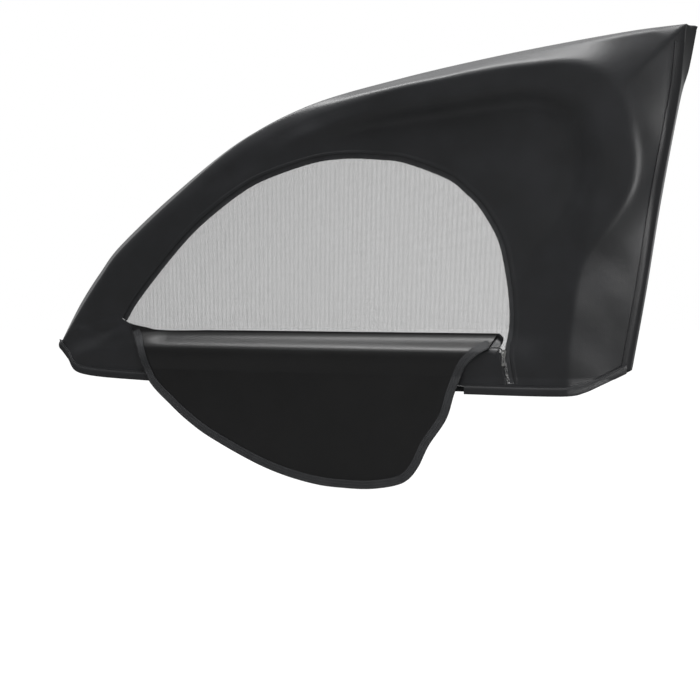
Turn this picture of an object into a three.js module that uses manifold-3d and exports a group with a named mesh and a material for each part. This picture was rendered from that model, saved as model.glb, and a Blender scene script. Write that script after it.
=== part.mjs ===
// Slip-on sunshade for a car's front side window, seen from the cabin.
// X runs along the door to the rear, -Y faces the cabin and +Z is up. Lengths are millimetres.
// The origin is in the sleeve's pocket at the door's belt line. Above it the window leans inwards.
import * as THREE from 'three';
import { mergeVertices } from 'three/addons/utils/BufferGeometryUtils.js';
import Module from 'manifold-3d';

// Cloth and seams
const cloth = 1.2;                 // thickness of the satin cloth
const netThickness = 1.0;          // thickness of the outer net
const seamGap = 0.4;               // clearance between two layers sewn together
const lean = THREE.MathUtils.degToRad(11);

// Depths of the inner panel in front of the pocket's middle plane
const membraneDepth = 12;          // flat part around the window opening
const crestDepth = 30;             // top of the ridge that runs round the rear corner
const shoulderDepth = 33;          // outer line of the ridge, at the upper rear corner
const rimDepth = 8;                // beside the rounded edge
const seamDepth = 0;               // where the inner panel meets the edge strip
const skirtDepth = 25;             // skirt, in front of the door's inner trim
const sillDepth = -2;              // fold of the flap, against the glass
const pocketDepth = 18;            // outer net behind the pocket's middle plane

// Widths of the rounded edge and of the ridge's bands
const edgeRound = 9;
const crownRound = 24;             // wide rounding along the front and middle of the top edge
const cornerRound = 26;            // and down the upper part of the rear edge
const ridgeOuterTop = 33;          // the ridge's top along the sleeve's top
const ridgeOuterSide = 50;         // and down its rear
const ridgeInnerTop = 22;          // its inner slope, the same
const ridgeInnerSide = 44;
const lowerRidgeBand = 105;        // the ridge's inner slope widens towards the hem

// Sill over which the flap folds
const sillTop = 69;
const sillFoot = 38;
const sillFront = -406;
const sillRear = 266;

// Zipper
const tapeWidth = 11;
const tapeThickness = 0.8;
const coilRadius = 1.2;
const closedOffset = 1.4;          // from the line of teeth to a coil's centre, where closed
const openOffset = 3.0;            // the same beside the slider's wedge and above it
const tapeOffset = openOffset + coilRadius + 2 * seamGap;
const clothOffset = tapeOffset + 5;
const skirtOffset = 4.4;           // from the closed chain to the skirt's edge
const sliderClearance = 6.5;       // the same beside the slider
const sliderHeight = 39;           // the slider's middle, above the belt line
const sliderLength = 12;
const sliderWidth = 8.4;
const sliderPlate = 0.9;
const sliderChannel = 3.4;
const pullLength = 19;
const pullWidth = 5;
const pullThickness = 1.1;
const pullEye = 1.5;               // radius of the hole in the pull
const bailWire = 0.5;              // radius of the slider's loop
const bailReach = 2.6;             // half the loop's length
const bailHeight = 3;

// Hems, binding and net
const hemHeight = 16;
const hemOverlap = 3;
const hemThickness = 1.6;
const bindingWidth = 12;
const flapGap = 4.2;               // from the skirt's front to the flap's front on the sill
const flapHang = 2.6;              // further gap where the flap hangs free
const slotWidth = 3;
const slotPitch = 6.2;
const slotMargin = 6;
const rearHemFront = 213;          // where the rear hem band ends, behind the flap
const frontHemRear = -330;         // and the front one

// Outlines as [along the door, up], each run through by a smooth curve
const frontTopPoints = [
  [-561, 38], [-505, 108], [-455, 165], [-408, 212], [-294, 296], [-160, 383],
  [-31, 435], [122, 466], [280, 489], [457, 508], [549, 513],
];
const rearTopPoints = [
  [-571, 40], [-517, 114], [-466, 172], [-417, 220], [-300, 305], [-163, 389],
  [-31, 438], [122, 468], [280, 490], [457, 509], [553, 514], [562, 508],
];
const frontRearEdgePoints = [[549, 513], [544, 455], [538, 408], [513, 271], [492, 138], [470, 14]];
const rearRearEdgePoints = [[562, 508], [552, 455], [540, 412], [514, 271], [493, 138], [471, 13]];
const mouthPoints = [
  [470, 12], [427, -10], [404, -21], [380, -27], [319, -29], [213, -29], [0, -28],
  [-200, -25], [-372, -22], [-502, -13], [-535, 14], [-561, 38],
];
const teethPoints = [
  [-406, 82], [-374, 122], [-295, 200], [-235, 250], [-161, 297], [-108, 320], [-29, 341],
  [29, 346], [87, 342], [128, 335], [193, 309], [222, 286], [244, 262], [269, 216],
  [279, 169], [284, 120], [283, 80], [277, 42], [279, 20], [284, -10],
];
const crestPoints = [
  [-150, 348], [-60, 382], [40, 408], [130, 420], [209, 427], [316, 436], [374, 426], [417, 399], [431, 356], [433, 313],
  [415, 227], [391, 138], [381, 60], [377, -30],
];
const flapEdgePoints = [
  [-403, 80], [-385, 41], [-362, -21], [-316, -66], [-278, -96], [-237, -121], [-161, -157],
  [-101, -178], [-39, -191], [11, -194], [56, -193], [99, -185], [123, -173], [141, -150],
  [158, -115], [187, -71], [201, -27], [216, 10], [229, 26], [243, 37], [264, 46],
];

// Stretches of the inner panel's two loops that are joined to each other, with the cells in each
const topCells = 30;
const rearCells = 14;
const lowerRearCells = 5;
const legCells = 9;
const sillCells = 20;
const frontCells = 7;
const acrossCells = 9;
const flapAlong = 42;
const flapDown = 12;
const sampleCount = 240;           // points in which a curve is measured

const wasm = await Module();
wasm.setup();

const materials = {
  satin: new THREE.MeshStandardMaterial({ color: 0x26272a, roughness: 0.5, metalness: 0 }),
  net: new THREE.MeshStandardMaterial({ color: 0x2e2f31, roughness: 0.8, metalness: 0 }),
  tape: new THREE.MeshStandardMaterial({ color: 0x37383b, roughness: 0.75, metalness: 0 }),
  coil: new THREE.MeshStandardMaterial({ color: 0x1d1d1f, roughness: 0.4, metalness: 0 }),
  metal: new THREE.MeshStandardMaterial({ color: 0xb9bbbd, roughness: 0.3, metalness: 1 }),
};

const { lerp, smoothstep } = THREE.MathUtils;

// Points evenly spaced along a smooth curve through hand-chosen points
function curvePoints(points, cells) {
  const curve = new THREE.SplineCurve(points.map(([x, z]) => new THREE.Vector2(x, z)));
  curve.arcLengthDivisions = sampleCount;
  return curve.getSpacedPoints(cells);
}

// The part of a list of points between two fractions of its length, in new even steps
function stretch(points, from, to, cells) {
  const last = points.length - 1;
  const result = [];
  for (let k = 0; k <= cells; k += 1) {
    const at = lerp(from, to, k / cells) * last;
    const index = Math.min(Math.floor(at), last - 1);
    result.push(points[index].clone().lerp(points[index + 1], at - index));
  }
  return result;
}

// Points moved sideways from a line; a positive distance is to the left of its direction
function offsetLine(points, distance) {
  return points.map((point, k) => {
    const before = points[Math.max(k - 1, 0)];
    const after = points[Math.min(k + 1, points.length - 1)];
    const along = after.clone().sub(before).normalize();
    const far = typeof distance === 'function' ? distance(point) : distance;
    return new THREE.Vector2(point.x - along.y * far, point.y + along.x * far);
  });
}

// Nearest distance to a line, positive on the left of its direction
function signedDistance(x, z, line) {
  let best = Infinity;
  let sign = 1;
  for (let k = 0; k < line.length - 1; k += 1) {
    const a = line[k];
    const b = line[k + 1];
    const ux = b.x - a.x;
    const uz = b.y - a.y;
    const along = THREE.MathUtils.clamp(((x - a.x) * ux + (z - a.y) * uz) / (ux * ux + uz * uz), 0, 1);
    const dx = x - a.x - along * ux;
    const dz = z - a.y - along * uz;
    const distance = Math.hypot(dx, dz);
    if (distance < best) {
      best = distance;
      sign = ux * (z - a.y) - uz * (x - a.x) >= 0 ? 1 : -1;
    }
  }
  return best * sign;
}

const frontTop = curvePoints(frontTopPoints, sampleCount);
const frontRearEdge = curvePoints(frontRearEdgePoints, sampleCount);
const rearTop = curvePoints(rearTopPoints, sampleCount);
const rearRearEdge = curvePoints(rearRearEdgePoints, sampleCount);
const mouth = curvePoints(mouthPoints, sampleCount);
const teeth = curvePoints(teethPoints, sampleCount);
const crest = curvePoints(crestPoints, sampleCount / 2);
const flapEdge = curvePoints(flapEdgePoints, sampleCount);
const closedEdge = stretch(frontTop, 0, 1, 70).concat(stretch(frontRearEdge, 0, 1, 30));

// How wide the rounded edge is near a point
function roundWidth(x, z) {
  const crown = smoothstep(x, -560, -470) * (1 - smoothstep(x, 180, 320));
  const corner = smoothstep(x, 500, 535) * smoothstep(z, 330, 470);
  return edgeRound + (crownRound - edgeRound) * crown + (cornerRound - edgeRound) * corner;
}

// Depth of the inner panel's front in front of the pocket's middle plane
function panelDepth(x, z) {
  const toEdge = Math.abs(signedDistance(x, z, closedEdge));
  const toCrest = signedDistance(x, z, crest);
  const ridge = smoothstep(x, -140, 150);
  const side = smoothstep(x, 320, 430);
  const low = 1 - smoothstep(z, 15, 85);
  const flat = lerp(membraneDepth, skirtDepth, low);
  const upper = smoothstep(z, 150, 300);
  let depth;
  if (toCrest < 0) {
    const band = lerp(lowerRidgeBand, lerp(ridgeInnerTop, ridgeInnerSide, side), upper);
    const far = Math.min(-toCrest / band, 1);
    const rise = lerp((1 - far) ** 2, 1 - smoothstep(far, 0, 1), upper);
    depth = lerp(flat, crestDepth, rise * ridge);
  } else {
    const band = lerp(ridgeOuterTop, ridgeOuterSide, side) * upper;
    const top = lerp(crestDepth, shoulderDepth, upper * Math.min(toCrest / (band + 1), 1));
    const beyond = Math.max(toCrest - band, 0);
    const crown = lerp(rimDepth, top, toEdge / (toEdge + beyond + 1));
    depth = lerp(flat, crown, ridge);
  }
  const settled = lerp(rimDepth, depth, smoothstep(toEdge, 0, 70));
  const atCrest = toCrest < 0 ? 0 : ridge;
  const free = lerp(settled, depth, atCrest);
  const turn = 1 - Math.min(toEdge / roundWidth(x, z), 1);
  const rounded = lerp(seamDepth, free, Math.sqrt(1 - turn * turn));
  const overSill = z > sillTop + 10 ? 0 : smoothstep(z, sillFoot, sillTop);
  const alongSill = smoothstep(x, sillFront, sillFront + 80) * (1 - smoothstep(x, sillRear + 5, sillRear + 10));
  return lerp(rounded, sillDepth, overSill * alongSill);
}

// Depth of the flap, which lies on the sill and then hangs down
function flapDepth(x, z) {
  const hanging = 1 - smoothstep(z, sillFoot - 12, sillTop);
  return panelDepth(x, Math.max(z, 0)) + flapGap + flapHang * hanging;
}

function leanY(z) {
  return -Math.tan(lean) * Math.max(z, 0);
}

function placed(x, z, depth) {
  return new THREE.Vector3(x, leanY(z) - depth, z);
}

// Point lifted off a cloth's face along the face's own normal
function facePoint(depthAt, x, z, lift) {
  const step = 0.5;
  const acrossX = placed(x + step, z, depthAt(x + step, z)).sub(placed(x - step, z, depthAt(x - step, z)));
  const acrossZ = placed(x, z + step, depthAt(x, z + step)).sub(placed(x, z - step, depthAt(x, z - step)));
  const normal = acrossX.cross(acrossZ).normalize();
  return placed(x, z, depthAt(x, z)).addScaledVector(normal, lift);
}

// Closed body of a cloth: the grid is its outer face and the other face lies behind it
function clothGeometry(grid, thickness, closed = false) {
  const rows = grid.length;
  const columns = grid[0].length;
  const wrap = (i) => (closed ? (i + rows) % rows : THREE.MathUtils.clamp(i, 0, rows - 1));
  const positions = [];
  const behind = [];
  for (let i = 0; i < rows; i += 1) {
    for (let j = 0; j < columns; j += 1) {
      const along = grid[wrap(i + 1)][j].clone().sub(grid[wrap(i - 1)][j]);
      const down = grid[i][Math.min(j + 1, columns - 1)].clone().sub(grid[i][Math.max(j - 1, 0)]);
      const normal = down.cross(along).normalize();
      const point = grid[i][j];
      positions.push(point.x, point.y, point.z);
      behind.push(...point.clone().addScaledVector(normal, -thickness).toArray());
    }
  }
  const half = rows * columns;
  const indices = [];
  const face = (a, b, c) => indices.push(a, b, c, c + half, b + half, a + half);
  const rim = (a, b) => indices.push(a, b, b + half, a, b + half, a + half);
  const at = (i, j) => wrap(i) * columns + j;
  const lastRow = closed ? rows : rows - 1;
  for (let i = 0; i < lastRow; i += 1) {
    for (let j = 0; j < columns - 1; j += 1) {
      face(at(i, j), at(i, j + 1), at(i + 1, j));
      face(at(i + 1, j), at(i, j + 1), at(i + 1, j + 1));
    }
    rim(at(i, 0), at(i + 1, 0));
    rim(at(i + 1, columns - 1), at(i, columns - 1));
  }
  if (!closed) {
    for (let j = 0; j < columns - 1; j += 1) {
      rim(at(0, j + 1), at(0, j));
      rim(at(rows - 1, j), at(rows - 1, j + 1));
    }
  }
  const geometry = new THREE.BufferGeometry();
  geometry.setAttribute('position', new THREE.Float32BufferAttribute(positions.concat(behind), 3));
  geometry.setIndex(indices);
  geometry.computeVertexNormals();
  return geometry;
}

// Strip of cloth between two lines, lying on a face with the given lift
function stripGeometry(depthAt, upper, lower, lift, thickness, columns = 1) {
  const grid = upper.map((point, i) => {
    const row = [];
    for (let j = 0; j <= columns; j += 1) {
      const between = point.clone().lerp(lower[i], j / columns);
      row.push(facePoint(depthAt, between.x, between.y, lift));
    }
    return row;
  });
  return clothGeometry(grid, thickness);
}

function tubeGeometry(points, radius, steps, sides = 5) {
  const section = new THREE.Shape();
  for (let k = 0; k < sides; k += 1) {
    const angle = (2 * Math.PI * k) / sides;
    const x = radius * Math.cos(angle);
    const y = radius * Math.sin(angle);
    if (k === 0) section.moveTo(x, y);
    else section.lineTo(x, y);
  }
  section.closePath();
  const path = new THREE.CatmullRomCurve3(points, false, 'centripetal');
  return new THREE.ExtrudeGeometry(section, { steps, bevelEnabled: false, extrudePath: path });
}

const toSolid = (geometry) => {
  const bare = geometry.clone();
  bare.deleteAttribute('normal');
  bare.deleteAttribute('uv');
  const merged = mergeVertices(bare, 1e-4);
  return new wasm.Manifold(new wasm.Mesh({
    numProp: 3,
    vertProperties: new Float32Array(merged.attributes.position.array),
    triVerts: new Uint32Array(merged.index.array),
  }));
};

const fromSolid = (solid) => {
  const mesh = solid.getMesh();
  const geometry = new THREE.BufferGeometry();
  geometry.setAttribute('position', new THREE.BufferAttribute(mesh.vertProperties, 3));
  geometry.setIndex(new THREE.BufferAttribute(mesh.triVerts, 1));
  geometry.computeVertexNormals();
  return geometry;
};

const model = new THREE.Group();

function addPiece(name, geometry, material) {
  const mesh = new THREE.Mesh(geometry, material.clone());
  mesh.name = name;
  model.add(mesh);
  return mesh;
}

// Lines that the inner panel's cloth follows
const clothEdge = offsetLine(teeth, clothOffset);
const legTop = teeth.findIndex((point) => point.x > 0 && point.y < sillTop - 4) / sampleCount;
const shoulder = teeth.findIndex((point) => point.x > 0 && point.y < 262) / sampleCount;
const besideSlider = (point) => {
  const near = Math.abs(point.y - sliderHeight - 3) < sliderLength / 2 + 8;
  return near ? -sliderClearance : -skirtOffset;
};
const skirtEdge = offsetLine(stretch(teeth, legTop, 1, sampleCount), besideSlider);
const panelMouth = mouth.map((point) => new THREE.Vector2(point.x, point.y + hemHeight - hemOverlap));

function indexAlongMouth(x) {
  return mouth.findIndex((point) => point.x < x) / sampleCount;
}

const belowLegRear = indexAlongMouth(300);
const belowLegFront = indexAlongMouth(272);
const belowSillRear = indexAlongMouth(238);
const belowSillFront = indexAlongMouth(-392);

const sillLine = [
  [sillRear, sillTop], [170, sillTop], [0, sillTop], [-200, sillTop], [-336, sillTop - 1],
  [-370, sillTop + 4], [-398, 79],
];

// Outer and inner loop of the inner panel, point by point
function panelLoops() {
  const sill = curvePoints(sillLine, sampleCount);
  const corner = [sill[sampleCount], clothEdge[0]];
  const outer = [];
  const inner = [];
  const join = (outerLine, outerFrom, outerTo, innerLine, innerFrom, innerTo, cells) => {
    outer.push(...stretch(outerLine, outerFrom, outerTo, cells).slice(0, -1));
    inner.push(...stretch(innerLine, innerFrom, innerTo, cells).slice(0, -1));
  };
  const rearLeg = stretch(clothEdge, legTop, 1, sampleCount);
  join(frontTop, 0, 1, clothEdge, 0, shoulder, topCells);
  join(frontRearEdge, 0, 1, clothEdge, shoulder, legTop, rearCells);
  join(panelMouth, 0.015, belowLegRear, rearLeg, 0, 1, lowerRearCells);
  join(panelMouth, belowLegRear, belowLegFront, [rearLeg[sampleCount], skirtEdge[sampleCount]], 0, 1, 2);
  join(panelMouth, belowLegFront, belowSillRear, skirtEdge, 1, 0, legCells);
  join(panelMouth, belowSillRear, belowSillFront, sill, 0, 1, sillCells);
  join(panelMouth, belowSillFront, 0.99, corner, 0, 1, frontCells);
  return { outer, inner };
}

// Fractions across the panel: close together at the rounded edge, then even
function acrossFractions(length) {
  const near = length > 60 ? [0, 2, 7, 16, 30].map((far) => far / length) : [0];
  const rest = acrossCells + 1 - near.length;
  const start = near[near.length - 1];
  for (let k = 1; k <= rest; k += 1) near.push(lerp(start, 1, k / rest));
  return near;
}

function innerPanelGeometry() {
  const { outer, inner } = panelLoops();
  const grid = outer.map((start, i) => {
    const end = inner[i];
    return acrossFractions(start.distanceTo(end)).map((fraction) => {
      const point = start.clone().lerp(end, fraction);
      return placed(point.x, point.y, panelDepth(point.x, point.y));
    });
  });
  return clothGeometry(grid, cloth, true);
}

// Strip of cloth round the door frame's edge, from the net to the inner panel
function edgeStripGeometry() {
  const cells = topCells + 6;
  const back = stretch(rearTop, 0, 1, cells).concat(stretch(rearRearEdge, 0, 1, rearCells).slice(1));
  const front = stretch(frontTop, 0, 1, cells).concat(stretch(frontRearEdge, 0, 1, rearCells).slice(1));
  const grid = back.map((point, i) => [
    placed(point.x, point.y, cloth - pocketDepth),
    placed(front[i].x, front[i].y, seamDepth - cloth - seamGap),
  ]);
  return clothGeometry(grid, cloth);
}

// Outer net: one flat leaning sheet, with upright gaps behind the window opening
function netGeometry() {
  const tilt = 1 / Math.cos(lean);
  const outline = [
    ...stretch(rearTop, 0, 1, 44),
    ...stretch(rearRearEdge, 0, 1, 12).slice(1),
    ...stretch(mouth, 0.02, 0.98, 40),
  ];
  const shape = new THREE.Shape(outline.map((point) => new THREE.Vector2(point.x, point.y * tilt)));
  let sheet = toSolid(new THREE.ExtrudeGeometry(shape, { depth: netThickness, bevelEnabled: false }));
  for (let x = teeth[0].x + 2 * slotMargin; x < sillRear + slotMargin; x += slotPitch) {
    const crossing = teeth.find((point) => point.x > x);
    const bottom = (sillTop - slotMargin) * tilt;
    const top = (crossing.y + 2 * slotMargin) * tilt;
    const slot = new THREE.BoxGeometry(slotWidth, top - bottom, 4 * netThickness)
      .translate(x, (top + bottom) / 2, netThickness / 2);
    sheet = sheet.subtract(toSolid(slot));
  }
  return fromSolid(sheet);
}

// Points along a line, closer together towards both of its ends
function gathered(points, cells) {
  const result = [];
  for (let k = 0; k <= cells; k += 1) {
    const even = k / cells;
    const fraction = even - 0.09 * Math.sin(2 * Math.PI * even);
    const at = fraction * (points.length - 1);
    const index = Math.min(Math.floor(at), points.length - 2);
    result.push(points[index].clone().lerp(points[index + 1], at - index));
  }
  return result;
}

// Fractions down the flap: close together where it rounds the sill, then even
function downFractions(length) {
  const near = length > 80 ? [0, 6, 12, 19, 27, 38].map((far) => far / length) : [0];
  const rest = flapDown + 1 - near.length;
  const start = near[near.length - 1];
  for (let k = 1; k <= rest; k += 1) near.push(lerp(start, 1, k / rest));
  return near;
}

function flapGeometry() {
  const fabricEdge = gathered(stretch(offsetLine(flapEdge, tapeOffset + 1), 0.003, 0.99, sampleCount), flapAlong);
  const foldFront = new THREE.Vector2(sillFront + 11, sillTop + 10);
  const fold = gathered(curvePoints([
    [foldFront.x, foldFront.y], [-368, sillTop + 4], [-336, sillTop - 1], [-200, sillTop],
    [0, sillTop], [170, sillTop], [sillRear - 8, sillTop],
  ], sampleCount), flapAlong);
  const grid = fold.map((point, i) => {
    const end = fabricEdge[i];
    return downFractions(point.distanceTo(end)).map((fraction) => {
      const between = point.clone().lerp(end, fraction);
      return placed(between.x, between.y, flapDepth(between.x, between.y));
    });
  });
  return clothGeometry(grid, cloth);
}

function sliderGeometry() {
  const outline = new THREE.Shape();
  const halfLength = sliderLength / 2;
  const halfWidth = sliderWidth / 2;
  outline.moveTo(-halfWidth * 0.6, -halfLength);
  outline.lineTo(halfWidth * 0.6, -halfLength);
  outline.quadraticCurveTo(halfWidth * 0.8, 0, halfWidth, halfLength * 0.5);
  outline.quadraticCurveTo(halfWidth, halfLength, halfWidth * 0.5, halfLength);
  outline.lineTo(-halfWidth * 0.5, halfLength);
  outline.quadraticCurveTo(-halfWidth, halfLength, -halfWidth, halfLength * 0.5);
  outline.quadraticCurveTo(-halfWidth * 0.8, 0, -halfWidth * 0.6, -halfLength);
  const plate = (z) => new THREE.ExtrudeGeometry(outline, { depth: sliderPlate, bevelEnabled: false, curveSegments: 5 })
    .translate(0, 0, z);
  const wedge = new THREE.CylinderGeometry(0.7, 1.0, sliderChannel + 0.4, 8)
    .rotateX(Math.PI / 2)
    .translate(0, halfLength - 1.6, 0);
  const bailPath = [];
  const foot = sliderChannel / 2 + sliderPlate - 0.3;
  for (let k = 0; k <= 10; k += 1) {
    const angle = (Math.PI * k) / 10;
    bailPath.push(new THREE.Vector3(0, bailReach * Math.cos(angle), bailHeight * Math.sin(angle) + foot));
  }
  const bail = tubeGeometry(bailPath, bailWire, 12, 6);
  return fromSolid(
    toSolid(plate(sliderChannel / 2))
      .add(toSolid(plate(-sliderChannel / 2 - sliderPlate)))
      .add(toSolid(wedge))
      .add(toSolid(bail)),
  );
}

// Flat pull with its eye at the origin, hanging along -Y of its own outline
function pullGeometry() {
  const half = pullWidth / 2;
  const outline = new THREE.Shape();
  outline.moveTo(-half * 0.8, half * 0.5);
  outline.quadraticCurveTo(0, half * 1.6, half * 0.8, half * 0.5);
  outline.lineTo(half, 4 - pullLength);
  outline.quadraticCurveTo(half, 2 - pullLength, 0, 2 - pullLength);
  outline.quadraticCurveTo(-half, 2 - pullLength, -half, 4 - pullLength);
  outline.closePath();
  const plate = new THREE.ExtrudeGeometry(outline, { depth: pullThickness, bevelEnabled: false, curveSegments: 6 })
    .translate(0, 0, -pullThickness / 2);
  const eye = new THREE.CylinderGeometry(pullEye, pullEye, 3 * pullThickness, 12).rotateX(Math.PI / 2);
  const window = new THREE.BoxGeometry(pullWidth * 0.36, pullLength - 11, 3 * pullThickness)
    .translate(0, (3 - pullLength) / 2, 0);
  return fromSolid(toSolid(plate).subtract(toSolid(eye)).subtract(toSolid(window)));
}

// Cloth pieces
addPiece('inner_panel', innerPanelGeometry(), materials.satin);
addPiece('edge_strip', edgeStripGeometry(), materials.satin);
addPiece('flap_panel', flapGeometry(), materials.satin);
const net = addPiece('net_panel', netGeometry(), materials.net);
net.rotation.x = Math.PI / 2 + lean;
net.position.y = pocketDepth + netThickness / Math.cos(lean);

// Zipper on the inner panel's side, down to the hem
const behindCloth = -cloth - 2 * seamGap;
const tapeSteps = 60;
addPiece('window_zipper_tape', stripGeometry(
  panelDepth,
  stretch(offsetLine(teeth, tapeOffset + tapeWidth), 0, 0.985, tapeSteps),
  stretch(offsetLine(teeth, tapeOffset), 0, 0.985, tapeSteps),
  behindCloth,
  tapeThickness,
), materials.tape);
const coilLift = behindCloth - tapeThickness / 2;
const parting = (point) => smoothstep(point.y, sliderHeight - 6, sliderHeight + 1);
const coilOffset = (point) => lerp(closedOffset, openOffset, parting(point));
const windowCoilPath = stretch(offsetLine(teeth, coilOffset), 0.004, 0.98, 80)
  .map((point) => facePoint(panelDepth, point.x, point.y, coilLift));
addPiece('window_zipper_coil', tubeGeometry(windowCoilPath, coilRadius, 80), materials.coil);

// Zipper on the flap's side: round the flap, through the slider and down to the hem
const tapeLift = 2 * seamGap;
const flapTape = stripGeometry(
  flapDepth,
  gathered(stretch(offsetLine(flapEdge, tapeOffset + tapeWidth), 0.02, 0.972, sampleCount), tapeSteps),
  gathered(stretch(offsetLine(flapEdge, tapeOffset), 0.02, 0.972, sampleCount), tapeSteps),
  tapeLift + tapeThickness,
  tapeThickness,
  2,
);
addPiece('flap_zipper_tape', flapTape, materials.tape);
const flapCoilPath = stretch(offsetLine(flapEdge, openOffset), 0.01, 0.985, 70)
  .map((point) => facePoint(flapDepth, point.x, point.y, tapeLift + tapeThickness / 2));
const skirtSide = (point) => -coilOffset(point);
const legCoilPath = stretch(offsetLine(stretch(teeth, legTop, 1, sampleCount), skirtSide), 0.32, 0.94, 11)
  .map((point) => facePoint(panelDepth, point.x, point.y, coilLift));
const intoSlider = legCoilPath[0].clone().add(new THREE.Vector3(-1.0, 0, 5));
const overSkirt = intoSlider.clone().add(new THREE.Vector3(-8, -5, 3));
const wholeCoilPath = [...flapCoilPath, overSkirt, intoSlider, ...legCoilPath];
addPiece('flap_zipper_coil', tubeGeometry(wholeCoilPath, coilRadius, 96), materials.coil);

// Slider on the closed chain's top, and its pull
const sliderPoint = teeth.find((point) => point.x > 0 && point.y < sliderHeight);
const sliderCentre = facePoint(panelDepth, sliderPoint.x, sliderPoint.y, coilLift);
const slider = addPiece('zipper_slider', sliderGeometry(), materials.metal);
slider.rotation.x = Math.PI / 2;
slider.position.copy(sliderCentre);
const pull = addPiece('zipper_pull', pullGeometry(), materials.metal);
pull.rotation.x = Math.PI / 2;
pull.position.copy(sliderCentre);
pull.position.y -= sliderChannel / 2 + sliderPlate + seamGap + pullThickness / 2;
pull.position.z -= bailReach;

// Hem bands, binding and the net's hem
const hemLine = (from, to, cells, rise) => stretch(mouth, from, to, cells)
  .map((point) => new THREE.Vector2(point.x, point.y + rise));
const onPanel = 2 * seamGap + hemThickness;
const hemCut = indexAlongMouth(rearHemFront);
const rearHem = [hemLine(hemCut, 0.02, 16, hemHeight), hemLine(hemCut, 0.02, 16, 0)];
addPiece('rear_hem_band', stripGeometry(panelDepth, ...rearHem, onPanel, hemThickness), materials.satin);
const frontCut = indexAlongMouth(frontHemRear);
const frontHem = [hemLine(0.985, frontCut, 12, hemHeight), hemLine(0.985, frontCut, 12, 0)];
addPiece('front_hem_band', stripGeometry(panelDepth, ...frontHem, onPanel, hemThickness), materials.satin);
const bindingLift = -0.5;         // its facets follow the rounded edge closely
const bindingLine = (far) => stretch(offsetLine(frontRearEdge, -far), 0.05, 0.985, 24);
addPiece('rear_edge_binding', stripGeometry(
  panelDepth,
  bindingLine(1.5 + bindingWidth),
  bindingLine(1.5),
  bindingLift + cloth,
  cloth,
  4,
), materials.tape);

export default model;
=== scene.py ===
import math
import bpy
import numpy as np
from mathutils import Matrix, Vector


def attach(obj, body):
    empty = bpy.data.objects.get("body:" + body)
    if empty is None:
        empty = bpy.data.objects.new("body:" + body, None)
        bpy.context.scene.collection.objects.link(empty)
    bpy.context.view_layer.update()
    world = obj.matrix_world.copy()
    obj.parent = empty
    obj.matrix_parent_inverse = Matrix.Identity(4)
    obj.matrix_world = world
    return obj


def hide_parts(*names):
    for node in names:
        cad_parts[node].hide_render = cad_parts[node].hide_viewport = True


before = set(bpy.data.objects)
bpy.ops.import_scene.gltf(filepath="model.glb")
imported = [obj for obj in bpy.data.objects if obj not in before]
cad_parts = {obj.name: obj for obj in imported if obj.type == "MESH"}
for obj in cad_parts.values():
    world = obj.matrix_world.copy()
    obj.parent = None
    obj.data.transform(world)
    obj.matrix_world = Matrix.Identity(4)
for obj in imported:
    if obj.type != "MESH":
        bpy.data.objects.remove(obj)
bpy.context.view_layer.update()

scene = bpy.context.scene
mm = 0.001

# camera, where the photograph was taken
camera = {"place": (0.612, -1.703, 0.129), "lens": 55, "sensor": 36, "nearest": 0.01, "tilt": 87.1, "turn": 19.5}
cameraData = bpy.data.cameras.new("camera")
cameraData.lens = camera["lens"]
cameraData.sensor_width = camera["sensor"]
cameraData.clip_start = camera["nearest"]
cameraObject = bpy.data.objects.new("camera", cameraData)
cameraObject.location = camera["place"]
cameraObject.rotation_euler = (math.radians(camera["tilt"]), 0, math.radians(camera["turn"]))
scene.collection.objects.link(cameraObject)
scene.camera = cameraObject


# numbers: how finely lines are stepped, and how many points are measured in one go
steps = {"line": 1200, "spline": 6001, "batch": 3000, "leg": 300}


def lerp(a, b, t):
    return a + (b - a) * t


def smoothstep(value, low, high):
    t = np.clip((value - low) / (high - low), 0, 1)
    return t * t * (3 - 2 * t)


def resample(points, count):
    gaps = np.linalg.norm(np.diff(points, axis=0), axis=1)
    far = np.concatenate([[0], np.cumsum(gaps)])
    at = np.linspace(0, far[-1], count + 1)
    return np.stack([np.interp(at, far, points[:, k]) for k in range(points.shape[1])], axis=1)


def curvePoints(points, count=steps["line"]):  # even steps along a smooth curve through chosen points
    p = np.array(points, float)
    last = len(p) - 1
    t = np.linspace(0, last, steps["spline"])
    i = np.minimum(t.astype(int), last - 1)
    w = (t - i)[:, None]
    p0, p1, p2, p3 = p[np.maximum(i - 1, 0)], p[i], p[i + 1], p[np.minimum(i + 2, last)]
    v0, v1 = (p2 - p0) / 2, (p3 - p1) / 2
    fine = (2 * p1 - 2 * p2 + v0 + v1) * w**3 + (3 * p2 - 3 * p1 - 2 * v0 - v1) * w**2 + v0 * w + p1
    return resample(fine, count)


def stretch(points, start, end, cells):  # the part between two fractions of a line, in new even steps
    at = np.linspace(start, end, cells + 1) * (len(points) - 1)
    index = np.arange(len(points))
    return np.stack([np.interp(at, index, points[:, k]) for k in range(points.shape[1])], axis=1)


def offsetLine(points, distance):  # a positive distance is to the left of the line's direction
    after = np.concatenate([points[1:], points[-1:]])
    before = np.concatenate([points[:1], points[:-1]])
    along = after - before
    along = along / np.linalg.norm(along, axis=1, keepdims=True)
    side = np.stack([-along[:, 1], along[:, 0]], axis=1)
    return points + side * np.reshape(distance, (-1, 1))


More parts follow.
